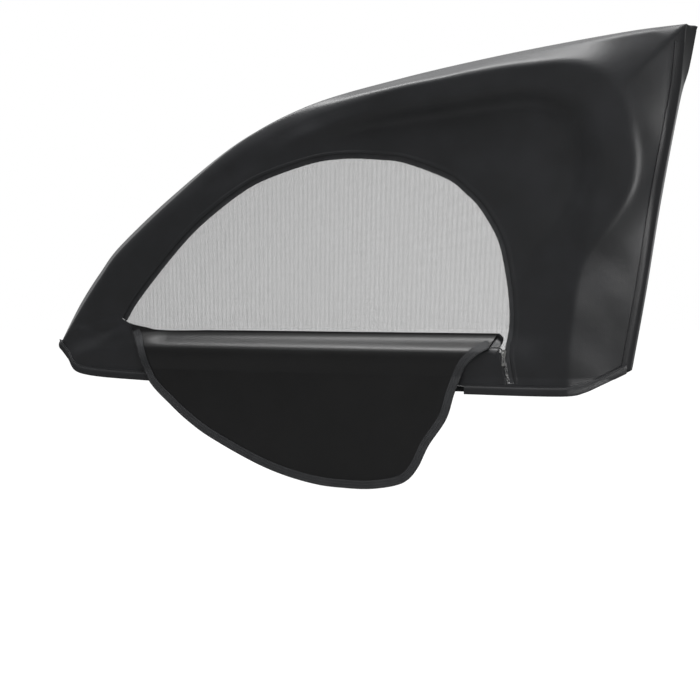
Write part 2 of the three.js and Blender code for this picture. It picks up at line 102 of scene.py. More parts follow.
def signedDistance(x, z, line):  # positive on the left of the line's direction
    spots = np.stack([np.ravel(x), np.ravel(z)], axis=1)
    a, u = line[:-1], np.diff(line, axis=0)
    square = (u * u).sum(1)
    result = np.empty(len(spots))
    for start in range(0, len(spots), steps["batch"]):
        d = spots[start:start + steps["batch"], None, :] - a[None]
        along = np.clip((d * u).sum(2) / square, 0, 1)
        gap = np.hypot(d[..., 0] - along * u[:, 0], d[..., 1] - along * u[:, 1])
        best = gap.argmin(1)
        row = np.arange(len(best))
        cross = u[best, 0] * d[row, best, 1] - u[best, 1] * d[row, best, 0]
        result[start:start + steps["batch"]] = gap[row, best] * np.where(cross >= 0, 1, -1)
    return result.reshape(np.shape(x))


def indexWhere(test):
    return int(np.argmax(test))


# the sleeve's lines, as [along the door, up] in millimetres
lines = {
    "frontTop": [[-561, 38], [-505, 108], [-455, 165], [-408, 212], [-294, 296], [-160, 383],
                 [-31, 435], [122, 466], [280, 489], [457, 508], [549, 513]],
    "rearTop": [[-571, 40], [-517, 114], [-466, 172], [-417, 220], [-300, 305], [-163, 389],
                [-31, 438], [122, 468], [280, 490], [457, 509], [553, 514], [562, 508]],
    "frontRear": [[549, 513], [544, 455], [538, 408], [513, 271], [492, 138], [470, 14]],
    "rearRear": [[562, 508], [552, 455], [540, 412], [514, 271], [493, 138], [471, 13]],
    "mouth": [[470, 12], [427, -10], [404, -21], [380, -27], [319, -29], [213, -29], [0, -28],
              [-200, -25], [-372, -22], [-502, -13], [-535, 14], [-561, 38]],
    "teeth": [[-406, 82], [-374, 122], [-295, 200], [-235, 250], [-161, 297], [-108, 320],
              [-29, 341], [29, 346], [87, 342], [128, 335], [193, 309], [222, 286], [244, 262],
              [269, 216], [279, 169], [284, 120], [283, 80], [277, 42], [279, 20], [284, -10]],
    "crest": [[-150, 348], [-60, 382], [40, 408], [130, 420], [209, 427], [316, 436], [374, 426],
              [417, 399], [431, 356], [433, 313], [415, 227], [391, 138], [381, 60], [377, -30]],
    "flapEdge": [[-403, 80], [-385, 41], [-362, -21], [-316, -66], [-278, -96], [-237, -121],
                 [-161, -157], [-101, -178], [-39, -191], [11, -194], [56, -193], [99, -185],
                 [123, -173], [141, -150], [158, -115], [187, -71], [201, -27], [216, 10],
                 [229, 26], [243, 37], [264, 46]],
    "sill": [[266, 69], [170, 69], [0, 69], [-200, 69], [-336, 68], [-370, 73], [-398, 79]],
    "fold": [[-395, 79], [-368, 73], [-336, 68], [-200, 69], [0, 69], [170, 69], [264, 69]],
}
frontTop, rearTop, frontRear, rearRear, mouth, teeth, crest, flapEdge, sillLine, foldLine = (
    curvePoints(points) for points in lines.values())

# depths in front of the pocket's middle plane and widths across the sleeve's forms
form = {
    "lean": 11, "cloth": 1.2,
    "membrane": 12, "crest": 30, "shoulder": 33, "rim": 8, "seam": 0, "skirt": 25, "sill": -2,
    "pocket": 18, "edgeRound": 9, "crownRound": 24, "cornerRound": 26,
    "topOuterBand": 33, "sideOuterBand": 50, "topInnerBand": 22, "sideInnerBand": 44, "lowerBand": 105,
    "sillTop": 69, "sillFoot": 38, "sillFront": -406, "sillRear": 266, "sillCover": 10, "sillRun": 80,
    "gap": 0.4,
}
# where one form passes into the next, as [from, to] along the door, up it, or from an edge or the crest
zones = {
    "crownStart": (-560, -470), "crownEnd": (180, 320), "cornerAlong": (500, 535), "cornerUp": (330, 470),
    "ridge": (-140, 150), "side": (320, 430), "skirt": (15, 85), "upper": (150, 300),
    "settle": (0, 70), "aroundCrest": (-30, 4), "softer": (90, 260),
}
leanSlope = math.tan(math.radians(form["lean"]))
closedEdge = np.concatenate([stretch(frontTop, 0, 1, 150), stretch(frontRear, 0, 1, 60)[1:]])
coarseCrest = stretch(crest, 0, 1, 150)


def roundWidth(x, z):
    crown = smoothstep(x, *zones["crownStart"]) * (1 - smoothstep(x, *zones["crownEnd"]))
    corner = smoothstep(x, *zones["cornerAlong"]) * smoothstep(z, *zones["cornerUp"])
    return form["edgeRound"] + (form["crownRound"] - form["edgeRound"]) * crown \
        + (form["cornerRound"] - form["edgeRound"]) * corner


def ridgeDepth(x, z):  # the cloth's depth before its rounded edge and the sill
    toEdge = np.abs(signedDistance(x, z, closedEdge))
    toCrest = signedDistance(x, z, coarseCrest)
    ridge = smoothstep(x, *zones["ridge"])
    side = smoothstep(x, *zones["side"])
    flat = lerp(form["membrane"], form["skirt"], 1 - smoothstep(z, *zones["skirt"]))
    upper = smoothstep(z, *zones["upper"])
    innerBand = lerp(form["lowerBand"], lerp(form["topInnerBand"], form["sideInnerBand"], side), upper)
    t = np.clip(-toCrest / innerBand, 0, 1)
    rise = lerp((1 - t) ** 2, 1 - smoothstep(t, 0, 1), upper)
    inner = lerp(flat, form["crest"], rise * ridge)
    outerBand = lerp(form["topOuterBand"], form["sideOuterBand"], side) * upper
    top = lerp(form["crest"], form["shoulder"], upper * np.minimum(toCrest / (outerBand + 1), 1))
    beyond = np.maximum(toCrest - outerBand, 0)
    crown = lerp(form["rim"], top, toEdge / (toEdge + beyond + 1))
    outer = lerp(flat, crown, ridge)
    depth = np.where(toCrest < 0, inner, outer)
    settled = lerp(form["rim"], depth, smoothstep(toEdge, *zones["settle"]))
    return lerp(settled, depth, ridge * smoothstep(toCrest, *zones["aroundCrest"]))


def blurred(field, sigma):  # sigma in cells
    reach = int(3 * sigma) + 1
    weights = np.exp(-0.5 * (np.arange(-reach, reach + 1) / sigma) ** 2)
    weights /= weights.sum()
    for axis in (0, 1):
        pad = [(reach, reach) if k == axis else (0, 0) for k in (0, 1)]
        wide = np.pad(field, pad, mode="edge")
        size = field.shape[axis]
        field = sum(w * np.take(wide, np.arange(k, k + size), axis) for k, w in enumerate(weights))
    return field


# the ridge's kinks are softened once on a map, which every piece on the panel then reads
depthMap = {"x": (-620, 620), "z": (-240, 560), "cell": 2.5, "soft": 3.4, "crease": 2.4}
mapX = np.arange(*depthMap["x"], depthMap["cell"])
mapZ = np.arange(*depthMap["z"], depthMap["cell"])
gridX, gridZ = np.meshgrid(mapX, mapZ, indexing="ij")
rawDepth = ridgeDepth(gridX, gridZ)
softDepth = blurred(rawDepth, depthMap["soft"] / depthMap["cell"])
creaseDepth = blurred(rawDepth, depthMap["crease"] / depthMap["cell"])
ridgeMap = lerp(creaseDepth, softDepth, smoothstep(gridZ, *zones["softer"]))
print("depth map ready")


def readMap(field, x, z):
    at = np.clip((np.asarray(x) - mapX[0]) / depthMap["cell"], 0, len(mapX) - 1.001)
    up = np.clip((np.asarray(z) - mapZ[0]) / depthMap["cell"], 0, len(mapZ) - 1.001)
    i, j = at.astype(int), up.astype(int)
    u, v = at - i, up - j
    return (field[i, j] * (1 - u) * (1 - v) + field[i + 1, j] * u * (1 - v)
            + field[i, j + 1] * (1 - u) * v + field[i + 1, j + 1] * u * v)


def panelDepth(x, z):
    toEdge = np.abs(signedDistance(x, z, closedEdge))
    turn = 1 - np.minimum(toEdge / roundWidth(x, z), 1)
    rounded = lerp(form["seam"], readMap(ridgeMap, x, z), np.sqrt(1 - turn * turn))
    overSill = np.where(z > form["sillTop"] + form["sillCover"], 0,
                        smoothstep(z, form["sillFoot"], form["sillTop"]))
    alongSill = smoothstep(x, form["sillFront"], form["sillFront"] + form["sillRun"]) \
        * (1 - smoothstep(x, form["sillRear"] + 5, form["sillRear"] + 10))
    return lerp(rounded, form["sill"], overSill * alongSill)


def placed(x, z, depth):
    return np.stack([x, -leanSlope * np.maximum(z, 0) - depth, z], axis=-1)


def faceNormal(depthAt, x, z):
    step = 0.5
    acrossX = placed(x + step, z, depthAt(x + step, z)) - placed(x - step, z, depthAt(x - step, z))
    acrossZ = placed(x, z + step, depthAt(x, z + step)) - placed(x, z - step, depthAt(x, z - step))
    normal = np.cross(acrossX, acrossZ)
    return normal / np.linalg.norm(normal, axis=-1, keepdims=True)


def facePoint(depthAt, x, z, lift):
    return placed(x, z, depthAt(x, z)) + faceNormal(depthAt, x, z) * np.reshape(lift, np.shape(lift) + (1,))


# materials

def linearColour(code):  # from the sRGB curve
    parts = [int(code[k:k + 2], 16) / 255 for k in (1, 3, 5)]
    return tuple(p / 12.92 if p <= 0.04045 else ((p + 0.055) / 1.055) ** 2.4 for p in parts) + (1.0,)


def addNode(tree, kind, settings=None, links=None):
    node = tree.nodes.new(kind)
    for name, value in (settings or {}).items():
        if isinstance(name, str) and hasattr(node, name):
            setattr(node, name, value)
        else:
            node.inputs[name].default_value = value
    for name, source in (links or {}).items():
        tree.links.new(source, node.inputs[name])
    return node


def newMaterial(name):
    material = bpy.data.materials.new(name)
    material.use_nodes = True
    tree = material.node_tree
    tree.nodes.clear()
    return material, tree


def bandScale(period):  # a band texture repeats every 0.31416 / scale metres
    return 0.31416 / (period * mm)


def wovenCloth(name, cloth):
    material, tree = newMaterial(name)
    flat = addNode(tree, "ShaderNodeUVMap", {"uv_map": "flatMap"}).outputs[0]
    threads = [addNode(tree, "ShaderNodeTexWave", {
        "bands_direction": direction, "Scale": bandScale(cloth[kind]), "Distortion": 0.6,
        "Detail": 1.0, "Detail Scale": 2.0}, {"Vector": flat}) for direction, kind in (("X", "warp"), ("Y", "weft"))]
    weave = addNode(tree, "ShaderNodeMath", {"operation": "MULTIPLY"},
                    {0: threads[0].outputs["Fac"], 1: threads[1].outputs["Fac"]})
    uneven = addNode(tree, "ShaderNodeTexNoise", {"Scale": 1 / (cloth["patch"] * mm), "Detail": 3.0},
                     {"Vector": flat})
    shade = addNode(tree, "ShaderNodeValToRGB", {}, {0: uneven.outputs["Fac"]})
    shade.color_ramp.elements[0].position = 0.35
    shade.color_ramp.elements[0].color = linearColour(cloth["dark"])
    shade.color_ramp.elements[1].position = 0.68
    shade.color_ramp.elements[1].color = linearColour(cloth["colour"])
    # the weave's valleys are darkened in the colour itself: painted shade between the threads
    threadShade = addNode(tree, "ShaderNodeMapRange", {"To Min": cloth["paintedValleyShade"], "To Max": 1.0},
                          {"Value": weave.outputs[0]})
    colour = addNode(tree, "ShaderNodeMix", {"data_type": "RGBA", "blend_type": "MULTIPLY", 0: 1.0},
                     {6: shade.outputs[0], 7: threadShade.outputs[0]})
    gloss = addNode(tree, "ShaderNodeMapRange", {
        "To Min": cloth["roughness"] - 0.04, "To Max": cloth["roughness"] + 0.05},
        {"Value": uneven.outputs["Fac"]})
    threadBump = addNode(tree, "ShaderNodeBump", {
        "Strength": cloth["strength"], "Distance": cloth["relief"] * mm}, {"Height": weave.outputs[0]})
    slack = addNode(tree, "ShaderNodeTexNoise", {"Scale": 1 / (cloth["slack"] * mm), "Detail": 4.0,
                    "Roughness": 0.55}, {"Vector": flat})
    slackBump = addNode(tree, "ShaderNodeBump", {
        "Strength": 1.0, "Distance": cloth["slackRelief"] * mm},
        {"Height": slack.outputs["Fac"], "Normal": threadBump.outputs[0]})
    shader = addNode(tree, "ShaderNodeBsdfPrincipled", {
        "IOR": 1.54, "Specular IOR Level": cloth["specular"],
        "Sheen Weight": cloth["sheen"], "Sheen Roughness": 0.45},
        {"Base Color": colour.outputs[2], "Roughness": gloss.outputs[0], "Normal": slackBump.outputs[0]})
    addNode(tree, "ShaderNodeOutputMaterial", {}, {"Surface": shader.outputs[0]})
    return material


# black polyester satin, woven and calendered: soft wide highlights with the fine rib of its warp
satinCloth = wovenCloth("calenderedPolyesterSatin", {
    "colour": "#242528", "dark": "#1f2022", "paintedValleyShade": 0.72, "roughness": 0.38, "specular": 0.5,
    "sheen": 0.04, "warp": 0.9, "weft": 1.2, "relief": 0.07, "strength": 0.35,
    "patch": 60, "slack": 34, "slackRelief": 0.35})
# the same satin's reverse, darker: partly its own deeper black, partly painted shade for the flap hanging under the
# panel's overhang; with somewhat narrower highlights
satinReverseWithPaintedShade = wovenCloth("wovenPolyesterReverseWithPaintedShade", {
    "colour": "#0c0c0d", "dark": "#09090a", "paintedValleyShade": 0.72, "roughness": 0.35, "specular": 0.5,
    "sheen": 0.02, "warp": 0.9, "weft": 1.2, "relief": 0.08, "strength": 0.4,
    "patch": 70, "slack": 40, "slackRelief": 0.3})
# woven polyester tape: matt, with a coarse rib across it
wovenTape = wovenCloth("ribbedPolyesterTape", {
    "colour": "#414244", "dark": "#38393b", "paintedValleyShade": 0.6, "roughness": 0.6, "specular": 0.3,
    "sheen": 0.06, "warp": 1.4, "weft": 0.9, "relief": 0.14, "strength": 0.6,
    "patch": 25, "slack": 12, "slackRelief": 0.15})
# knitted polyester net: dull thin threads
netThread = wovenCloth("knittedPolyesterNet", {
    "colour": "#2b2c2e", "dark": "#242527", "paintedValleyShade": 0.7, "roughness": 0.7, "specular": 0.3,
    "sheen": 0.05, "warp": 0.5, "weft": 0.5, "relief": 0.05, "strength": 0.3,
    "patch": 30, "slack": 20, "slackRelief": 0.05})


# meshes

def meshObject(name, vertices, faces, material, flatMap=None, sharp=55):
    mesh = bpy.data.meshes.new(name)
    mesh.from_pydata(np.asarray(vertices, float).tolist(), [], [list(map(int, face)) for face in faces])
    mesh.polygons.foreach_set("use_smooth", np.ones(len(mesh.polygons), bool))
    mesh.set_sharp_from_angle(angle=math.radians(sharp))
    if flatMap is not None:
        layer = mesh.uv_layers.new(name="flatMap")
        corners = np.empty(len(mesh.loops), int)
        mesh.loops.foreach_get("vertex_index", corners)
        layer.uv.foreach_set("vector", np.asarray(flatMap, np.float32)[corners].ravel())
    mesh.materials.append(material)
    mesh.update()
    piece = bpy.data.objects.new(name, mesh)
    scene.collection.objects.link(piece)
    return piece


def gridNormals(grid, closed):
    along = np.roll(grid, -1, 0) - np.roll(grid, 1, 0)
    if not closed:
        along[0] = grid[1] - grid[0]
        along[-1] = grid[-1] - grid[-2]
    down = np.gradient(grid, axis=1)
    normal = np.cross(down, along)
    return normal / np.linalg.norm(normal, axis=-1, keepdims=True)


def clothFaces(rows, columns, closed):
    half = rows * columns
    i = np.arange(rows if closed else rows - 1)
    j = np.arange(columns - 1)
    ii, jj = (part.ravel() for part in np.meshgrid(i, j, indexing="ij"))
    at = lambda r, c: (r % rows) * columns + c
    front = np.stack([at(ii, jj), at(ii, jj + 1), at(ii + 1, jj + 1), at(ii + 1, jj)], 1)
    rim = lambda a, b: np.stack([a, b, b + half, a + half], 1)
    parts = [front, front[:, ::-1] + half, rim(at(i, 0), at(i + 1, 0)),
             rim(at(i + 1, columns - 1), at(i, columns - 1))]
    if not closed:
        parts += [rim(at(0, j + 1), at(0, j)), rim(at(rows - 1, j), at(rows - 1, j + 1))]
    return np.concatenate(parts)


def clothPiece(name, grid, thickness, material, closed=False, flatMap=None, sharp=55):
    rows, columns = grid.shape[:2]
    normal = gridNormals(grid, closed)
    behind = grid - normal * np.reshape(thickness, np.shape(thickness) + (1,))
    vertices = np.concatenate([grid.reshape(-1, 3), behind.reshape(-1, 3)]) * mm
    if flatMap is None:
        flatMap = np.stack([grid[..., 0], grid[..., 2]], -1)
    flat = np.concatenate([flatMap.reshape(-1, 2)] * 2) * mm
    return meshObject(name, vertices, clothFaces(rows, columns, closed), material, flat, sharp)


def stripMap(grid):  # length along the strip and distance across it
    middle = grid[:, grid.shape[1] // 2]
    far = np.concatenate([[0], np.cumsum(np.linalg.norm(np.diff(middle, axis=0), axis=1))])
    widths = np.linalg.norm(np.diff(grid, axis=1), axis=-1).mean(0)
    across = np.concatenate([[0], np.cumsum(widths)])
    return np.stack(np.broadcast_arrays(far[:, None], across[None]), -1)


def finishPiece(piece, nodes, body="sleeve"):
    if nodes:
        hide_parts(*nodes)
    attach(piece, body)
    return piece


# inner panel: the satin cloth from the seam on the door frame to the window's zipper
# the mouth's ends are fractions of its line, and the turns on it are places along the door
panel = {"hemRise": 13, "clothOffset": 10, "skirtGap": 4.4, "sliderGap": 6.5, "sliderHeight": 39,
         "shoulderHeight": 262, "belowSill": 4, "mouthRear": 0.006, "mouthFront": 0.99,
         "legRear": 300, "legFront": 272, "skirtRear": 238, "skirtFront": -392,
         "topCells": 250, "rearCells": 110, "lowRearCells": 34, "turnCells": 10, "legCells": 50,
         "sillCells": 130, "frontCells": 50, "across": 56, "hemFold": 7, "hemSwell": 0.5}
clothEdge = offsetLine(teeth, panel["clothOffset"])
legTop = indexWhere((teeth[:, 0] > 0) & (teeth[:, 1] < form["sillTop"] - panel["belowSill"])) / (len(teeth) - 1)
shoulder = indexWhere((teeth[:, 0] > 0) & (teeth[:, 1] < panel["shoulderHeight"])) / (len(teeth) - 1)
legTeeth = stretch(teeth, legTop, 1, steps["leg"])
besideSlider = smoothstep(np.abs(legTeeth[:, 1] - panel["sliderHeight"] - 3), 18, 12)
skirtEdge = offsetLine(legTeeth, -lerp(panel["skirtGap"], panel["sliderGap"], besideSlider))
panelMouth = mouth + [0, panel["hemRise"]]


def alongMouth(x):
    return indexWhere(mouth[:, 0] < x) / (len(mouth) - 1)


def panelLoops():
    outer, inner = [], []

    def join(outerLine, outerFrom, outerTo, innerLine, innerFrom, innerTo, cells):
        outer.append(stretch(outerLine, outerFrom, outerTo, cells)[:-1])
        inner.append(stretch(innerLine, innerFrom, innerTo, cells)[:-1])

    leg = stretch(clothEdge, legTop, 1, steps["leg"])
    legEnd = np.stack([leg[-1], skirtEdge[-1]])
    corner = np.stack([sillLine[-1], clothEdge[0]])
    join(frontTop, 0, 1, clothEdge, 0, shoulder, panel["topCells"])
    join(frontRear, 0, 1, clothEdge, shoulder, legTop, panel["rearCells"])
    legRear, legFront, skirtRear, skirtFront = (
        alongMouth(panel[name]) for name in ("legRear", "legFront", "skirtRear", "skirtFront"))
    join(panelMouth, panel["mouthRear"], legRear, leg, 0, 1, panel["lowRearCells"])
    join(panelMouth, legRear, legFront, legEnd, 0, 1, panel["turnCells"])
    join(panelMouth, legFront, skirtRear, skirtEdge, 1, 0, panel["legCells"])
    join(panelMouth, skirtRear, skirtFront, sillLine, 0, 1, panel["sillCells"])
    join(panelMouth, skirtFront, panel["mouthFront"], corner, 0, 1, panel["frontCells"])
    return np.concatenate(outer), np.concatenate(inner)


def ripple(x, z, waves):  # shallow waves: [length, direction in degrees, height, phase] in mm
    total = np.zeros(np.shape(x))
    for length, direction, height, phase in waves:
        turn = math.radians(direction)
        total += height * np.sin(2 * math.pi * (x * math.cos(turn) + z * math.sin(turn)) / length + phase)
    return total


panelRipple = [[170, 20, 0.5, 0.4], [118, 75, 0.4, 1.9], [83, 130, 0.3, 3.1], [61, 50, 0.16, 5.0]]
# pulls in the cloth at the sleeve's front corner: [from, to, half width, height]
cornerPulls = [[(-536, 70), (-470, 62), 9, 2.0], [(-488, 72), (-420, 84), 8, 2.2],
               [(-470, 40), (-405, 74), 11, 1.8], [(-520, 20), (-440, 36), 12, 1.4]]


def pullHeight(x, z, pulls):
    total = np.zeros(np.shape(x))
    for start, end, width, height in pulls:
        u = np.subtract(end, start)
        along = np.clip(((x - start[0]) * u[0] + (z - start[1]) * u[1]) / (u @ u), 0, 1)
        gap = np.hypot(x - start[0] - along * u[0], z - start[1] - along * u[1])
        total += height * np.exp(-(gap / width) ** 2) * np.sin(math.pi * np.clip(along * 0.86 + 0.07, 0, 1))
    return total


outerLoop, innerLoop = panelLoops()
even = np.linspace(0, 1, panel["across"] + 1)
fraction = lerp(even, (1 - np.cos(math.pi * even)) / 2, 0.88)
flatGrid = lerp(outerLoop[:, None], innerLoop[:, None], fraction[None, :, None])
panelX, panelZ = flatGrid[..., 0], flatGrid[..., 1]
toSeam = np.abs(signedDistance(panelX, panelZ, closedEdge))
fromOpening = np.linalg.norm(flatGrid - innerLoop[:, None], axis=-1)
loose = smoothstep(toSeam, 6, 40) * smoothstep(fromOpening, 2, 30)
swell = panel["hemSwell"] * (1 - smoothstep(fromOpening, panel["hemFold"] - 2, panel["hemFold"]))
extraDepth = loose * ripple(panelX, panelZ, panelRipple) + smoothstep(toSeam, 3, 20) \
    * pullHeight(panelX, panelZ, cornerPulls)
panelGrid = placed(panelX, panelZ,
                   panelDepth(panelX, panelZ) + extraDepth + swell * smoothstep(fromOpening, 0, 0.8))
innerPanel = clothPiece("innerPanel", panelGrid, form["cloth"], satinCloth, closed=True)
finishPiece(innerPanel, ["inner_panel"])
print("inner panel ready")


# edge strip: the cloth that wraps the door frame's edge, from the net to the inner panel
strip = {"topCells": 300, "rearCells": 120, "across": 12}
stripBack, stripFront = (
    np.concatenate([stretch(top, 0, 1, strip["topCells"]), stretch(rear, 0, 1, strip["rearCells"])[1:]])
    for top, rear in ((rearTop, rearRear), (frontTop, frontRear)))
stripBackLine = placed(stripBack[:, 0], stripBack[:, 1], form["cloth"] - form["pocket"])
stripFrontLine = placed(stripFront[:, 0], stripFront[:, 1], form["seam"] - form["cloth"] - form["gap"])
across = np.linspace(0, 1, strip["across"] + 1)
stripGrid = lerp(stripBackLine[:, None], stripFrontLine[:, None], across[None, :, None])
edgeStrip = clothPiece("edgeStrip", stripGrid, form["cloth"], satinCloth, flatMap=stripMap(stripGrid))
finishPiece(edgeStrip, ["edge_strip"])

# outer net: upright threads crossed by thinner ones, and two of six uprights bolder, by turns
net = {"warpPitch": 1.34, "weftPitch": 1.5, "warp": 0.38, "boldWarp": 0.47, "boldOf": 6, "bold": 2,
       "weft": 0.36, "thickness": 0.3, "zone": 16, "shift": 5, "shortest": 6, "behindFace": 0.1,
       "along": (-568, 562), "up": (-26, 512), "hem": 9, "hemThickness": 1.0, "hemSteps": 420}
tilt = 1 / math.cos(math.radians(form["lean"]))
netOutline = np.concatenate([stretch(rearTop, 0, 1, 160), stretch(rearRear, 0, 1, 60)[1:],
                             stretch(mouth, 0.02, 0.98, 160)])


def crossings(outline, value, axis):  # where a straight line leaves and enters the outline
    a, b = outline, np.roll(outline, -1, 0)
    hit = (a[:, axis] <= value) != (b[:, axis] <= value)
    t = (value - a[hit, axis]) / (b[hit, axis] - a[hit, axis])
    return np.sort(a[hit, 1 - axis] + t * (b[hit, 1 - axis] - a[hit, 1 - axis]))


def netPoint(x, z, back):  # back is measured behind the net's front face
    return placed(x, z, -form["pocket"] - back)


def threadRuns():
    vertices, faces = [], []

    def prism(x, z, side, half, back, deep):  # flat bar along points, four corners at each
        start = len(vertices)
        for k in range(len(x)):
            for s, d in ((-1, back), (1, back), (1, back + deep), (-1, back + deep)):
                at = (x[k] + s * half[k] * side[0], z[k] + s * half[k] * side[1])
                vertices.append(netPoint(np.float64(at[0]), np.float64(at[1]), d))
        for k in range(len(x) - 1):
            low = start + 4 * k
            for c in range(4):
                faces.append((low + c, low + (c + 1) % 4, low + 4 + (c + 1) % 4, low + 4 + c))
        end = start + 4 * (len(x) - 1)
        faces.append((start + 3, start + 2, start + 1, start))
        faces.append((end, end + 1, end + 2, end + 3))

    deep, face = net["thickness"], net["behindFace"]
    for column, x in enumerate(np.arange(*net["along"], net["warpPitch"])):
        marks = crossings(netOutline, x, 0)
        for low, high in zip(marks[::2], marks[1::2]):
            if high - low < net["shortest"]:
                continue
            first = math.ceil((low + 1) / net["zone"])
            inside = np.arange(first, math.floor((high - 1) / net["zone"]) + 1) * net["zone"]
            z = np.concatenate([[low], inside, [high]])
            shift = (np.floor((z + 1) / net["zone"]) * net["shift"]).astype(int)
            bold = (column + shift) % net["boldOf"] < net["bold"]
            half = np.where(bold, net["boldWarp"], net["warp"]) / 2
            prism(np.full(len(z), x), z, (1, 0), half, face, deep)
    for z in np.arange(*net["up"], net["weftPitch"] / tilt):
        marks = crossings(netOutline, z, 1)
        for low, high in zip(marks[::2], marks[1::2]):
            if high - low > net["shortest"]:
                half = np.full(2, net["weft"] / 2 / tilt)
                prism(np.array([high, low]), np.full(2, z), (0, 1), half, face + deep * 0.6, deep * 0.7)
    return vertices, faces


def addHem(vertices, faces):  # the net's turned edge, a flat band inside its outline
    ring = resample(np.concatenate([netOutline, netOutline[:1]]), net["hemSteps"])[:-1]
    after, before = np.roll(ring, -1, 0), np.roll(ring, 1, 0)
    along = (after - before) / np.linalg.norm(after - before, axis=1, keepdims=True)
    inward = np.stack([along[:, 1], -along[:, 0]], 1)
    start, deep = len(vertices), net["hemThickness"]
    for k, point in enumerate(ring):
        inner = point + inward[k] * net["hem"]
        for spot, back in ((point, 0), (inner, 0), (inner, deep), (point, deep)):
            vertices.append(netPoint(np.float64(spot[0]), np.float64(spot[1]), back))
    for k in range(len(ring)):
        a, b = start + 4 * k, start + 4 * ((k + 1) % len(ring))
        for c in range(4):
            faces.append((a + c, a + (c + 1) % 4, b + (c + 1) % 4, b + c))


netVertices, netFaces = threadRuns()
addHem(netVertices, netFaces)
netVertices = np.array(netVertices)
outerNet = meshObject("outerNet", netVertices * mm, netFaces, netThread,
                      netVertices[:, [0, 2]] * mm, sharp=30)
finishPiece(outerNet, ["net_panel"])
print("net ready:", len(netFaces), "faces")

# flap: folded over the sill, hanging in front of the skirt
flap = {"gap": 4.2, "hang": 2.6, "foot": 12, "along": 300, "down": 110, "edgeOffset": 6.0,
        "start": 0.003, "end": 0.99, "closer": 0.09, "denser": 1.25}


def flapDepth(x, z):
    hanging = 1 - smoothstep(z, form["sillFoot"] - flap["foot"], form["sillTop"])
    return panelDepth(x, np.maximum(z, 0)) + flap["gap"] + flap["hang"] * hanging


flapLine = stretch(offsetLine(flapEdge, flap["edgeOffset"]), flap["start"], flap["end"], steps["line"])
flapEnd = resample(flapLine, flap["along"])
flapFold = resample(foldLine, flap["along"])
spread = np.linspace(0, 1, flap["along"] + 1)
gatheredStep = (spread - flap["closer"] * np.sin(2 * math.pi * spread)) * flap["along"]
evenStep = np.arange(flap["along"] + 1)
flapEnd, flapFold = (np.stack([np.interp(gatheredStep, evenStep, side[:, k]) for k in (0, 1)], 1)
                     for side in (flapEnd, flapFold))
downSteps = np.linspace(0, 1, flap["down"] + 1) ** flap["denser"]
flapFlat = lerp(flapFold[:, None], flapEnd[:, None], downSteps[None, :, None])
flapX, flapZ = flapFlat[..., 0], flapFlat[..., 1]
flapGrid = placed(flapX, flapZ, flapDepth(flapX, flapZ))
# the flap's cloth is darkened by painted shade as well as by its own deeper black
flapPiece = clothPiece("windowFlap", flapGrid, form["cloth"], satinReverseWithPaintedShade)
finishPiece(flapPiece, ["flap_panel"])
print("flap ready")


# rows of stitches and of zipper teeth: one small closed body a stitch or tooth, copied along a line
def ringBodies(centres, sideways, upward, radii, sides=6):  # centres: bodies x rings x 3
    turn = np.linspace(0, 2 * math.pi, sides, endpoint=False)
    circle = (np.cos(turn)[:, None] * sideways[:, None, None, :]
              + np.sin(turn)[:, None] * upward[:, None, None, :])
    spots = centres[:, :, None, :] + circle * np.asarray(radii)[None, :, None, None]
    bodies, rings = centres.shape[:2]
    index = np.arange(bodies * rings * sides).reshape(bodies, rings, sides)
    nextSide = np.roll(index, -1, 2)
    walls = np.stack([index[:, :-1], index[:, 1:], nextSide[:, 1:], nextSide[:, :-1]], -1).reshape(-1, 4)
    caps = np.concatenate([index[:, 0], index[:, -1][:, ::-1]])
    return spots.reshape(-1, 3), walls.tolist() + caps.tolist()


def unit(vectors):
    return vectors / np.linalg.norm(vectors, axis=-1, keepdims=True)


def gathered(parts):  # several lists of vertices and faces as one
    vertices, faces, start = [], [], 0
    for spots, sides in parts:
        vertices.append(spots)
        faces += [[corner + start for corner in side] for side in sides]
        start += len(spots)
    return np.concatenate(vertices), faces


def stitchesBetween(starts, ends, normals, thick):
    share = np.array([0, 0.25, 0.75, 1.0])
    raised = np.array([-0.5, 0.45, 0.45, -0.5]) * thick
    centres = lerp(starts[:, None], ends[:, None], share[None, :, None]) \
        + normals[:, None] * raised[None, :, None]
    sideways = unit(np.cross(normals, ends - starts))
    return ringBodies(centres, sideways, normals, np.array([0.3, 1, 1, 0.3]) * thick)


# a stitch covers seven tenths of its pitch
stitch = {"pitch": 3.4, "thick": 0.42}


def stitchRow(depthAt, line, lift):
    length = np.linalg.norm(np.diff(line, axis=0), axis=1).sum()
    count = max(int(length / stitch["pitch"]), 2)
    fine = resample(line, count * 10)
    starts, ends = fine[1:-1:10][:count], fine[8::10][:count]
    middles = (starts + ends) / 2
    return stitchesBetween(
        facePoint(depthAt, starts[:, 0], starts[:, 1], lift),
        facePoint(depthAt, ends[:, 0], ends[:, 1], lift),
        faceNormal(depthAt, middles[:, 0], middles[:, 1]), stitch["thick"])


# spun polyester sewing thread: dull, a little paler than the cloth so that its rows read
threadMaterial = wovenCloth("spunPolyesterThread", {
    "colour": "#3b3c3f", "dark": "#323336", "paintedValleyShade": 0.6, "roughness": 0.55, "specular": 0.35,
    "sheen": 0.08, "warp": 0.6, "weft": 0.4, "relief": 0.05, "strength": 0.4,
    "patch": 20, "slack": 10, "slackRelief": 0.03})


def stitchPiece(name, rows):
    spots, sides = gathered(rows)
    piece = meshObject(name, spots * mm, sides, threadMaterial, spots[:, [0, 2]] * mm, sharp=70)
    return finishPiece(piece, [])


